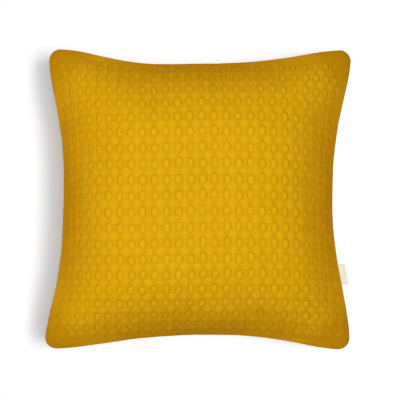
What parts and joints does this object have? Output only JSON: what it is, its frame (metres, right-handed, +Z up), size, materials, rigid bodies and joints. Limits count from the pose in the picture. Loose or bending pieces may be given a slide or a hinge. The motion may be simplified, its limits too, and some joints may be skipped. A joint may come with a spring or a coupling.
{
  "type": "cushion cover",
  "caption": "Square knife-edge scatter cushion in a cover of small raised cells, filled, with drawn-in sides, eared corners and a folded ribbon tab in one seam; it lies on its back.",
  "frame": {"origin": "on the surface it rests on, under the middle of its bounding box", "axes": "+Z up out of the cushion's face, +Y towards the face's top edge, +X towards the side with the ribbon tab"},
  "size_m": [0.45, 0.441, 0.143],
  "materials": {
    "cover_cloth": "matte mustard cotton with small raised cells",
    "label_ribbon": "matte cream woven ribbon"
  },
  "bodies": {
    "root": {"cushion": "cover_cloth", "side_label": "label_ribbon"}
  },
  "joints": []
}
